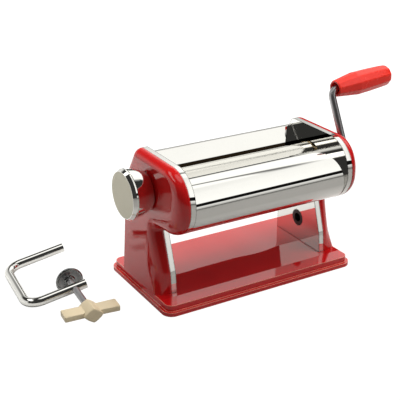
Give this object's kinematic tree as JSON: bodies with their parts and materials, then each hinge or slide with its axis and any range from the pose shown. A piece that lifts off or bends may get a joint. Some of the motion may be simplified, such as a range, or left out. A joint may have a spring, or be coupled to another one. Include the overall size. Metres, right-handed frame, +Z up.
{
  "type": "pasta roller machine",
  "caption": "Hand-cranked pasta sheet roller on a base plate, with a thickness knob, a removable crank and a separate table clamp.",
  "frame": {"origin": "on the table under the middle of the base plate", "axes": "+X along the rollers towards the crank, +Y away from the user, +Z up"},
  "size_m": [0.3912, 0.1768, 0.1858],
  "materials": {
    "red_paint": "deep glossy red paint",
    "chrome": "bright chrome plate",
    "brushed_face": "satin spun face",
    "roller_steel": "ground bright steel",
    "zinc_steel": "bright zinc plate",
    "bright_steel": "machined steel",
    "plain_steel": "zinc plated steel",
    "bronze": "sintered bronze",
    "grip_plastic": "orange-red moulded plastic",
    "cream_plastic": "cream moulded plastic",
    "black_plastic": "black moulded plastic",
    "black_rubber": "black rubber"
  },
  "bodies": {
    "frame": {"base_plate": "red_paint", "rubber_feet": "black_rubber", "base_screws": "plain_steel", "left_side_plate": "chrome", "right_side_plate": "chrome", "foot_bars": "plain_steel", "left_end_cover": "red_paint", "right_end_cover": "red_paint", "cover_screws": "plain_steel", "front_shell": "chrome", "rear_cover": "chrome", "tie_rods": "plain_steel", "tie_rod_nuts": "plain_steel", "front_scraper": "plain_steel", "drive_bushes": "bronze", "knob_bush": "bronze", "detent_spring": "plain_steel", "clamp_socket": "black_plastic"},
    "drive": {"drive_roller": "roller_steel", "drive_gear": "bright_steel", "drive_circlips": "plain_steel"},
    "crank": {"crank_arm": "zinc_steel"},
    "grip": {"crank_grip": "grip_plastic"},
    "carriage": {"left_bearing_block": "bronze", "right_bearing_block": "bronze", "carriage_bar": "plain_steel", "rear_scraper": "plain_steel", "cam_follower": "plain_steel"},
    "idler": {"idler_roller": "roller_steel", "idler_gear": "bright_steel", "idler_circlip": "plain_steel"},
    "regulator": {"cam_disc": "plain_steel", "regulator_knob": "chrome", "knob_face": "brushed_face", "knob_screw": "plain_steel"},
    "clamp": {"clamp_frame": "chrome"},
    "clamp_foot": {"clamp_disc": "zinc_steel"},
    "clamp_turner": {"clamp_screw": "zinc_steel", "wing_knob": "cream_plastic"}
  },
  "joints": [
    {"name": "crank_spin", "type": "hinge", "parent": "frame", "child": "drive", "pos_m": [0, -0.0409, 0.1083], "axis": [1, 0, 0], "continuous": true},
    {"name": "crank_pull", "type": "slide", "parent": "drive", "child": "crank", "axis": [1, 0, 0], "range_m": [0, 0.03]},
    {"name": "grip_spin", "type": "hinge", "parent": "crank", "child": "grip", "pos_m": [0.11198, -0.0095, 0.17101], "axis": [0.9969, 0.0351, 0.0702], "continuous": true},
    {"name": "knob_turn", "type": "hinge", "parent": "frame", "child": "regulator", "pos_m": [-0.1, -0.0115, 0.1083], "axis": [1, 0, 0], "range_deg": [0, 270], "deforming": ["detent_spring"]},
    {"name": "roller_gap", "type": "slide", "parent": "frame", "child": "carriage", "axis": [0, -1, 0], "range_m": [0, 0.0022]},
    {"name": "idler_spin", "type": "hinge", "parent": "carriage", "child": "idler", "pos_m": [0, -0.0115, 0.1083], "axis": [1, 0, 0], "continuous": true},
    {"name": "clamp_lift", "type": "slide", "parent": "frame", "child": "clamp", "axis": [0, 0, 1], "range_m": [0, 0.06]},
    {"name": "clamp_advance", "type": "slide", "parent": "clamp", "child": "clamp_foot", "axis": [0.0941, 0.9956, 0], "range_m": [-0.0075, 0.03]},
    {"name": "clamp_turn", "type": "hinge", "parent": "clamp_foot", "child": "clamp_turner", "pos_m": [-0.15957, 0.05627, 0.0134], "axis": [0.0941, 0.9956, 0], "range_deg": [-1800, 7200]}
  ],
  "couplings": [
    {"joint": "idler_spin", "follows": "crank_spin", "ratio": -1},
    {"joint": "knob_turn", "follows": "roller_gap", "rad_per_m": 2142},
    {"joint": "clamp_turn", "follows": "clamp_advance", "rad_per_m": 4188.8}
  ]
}
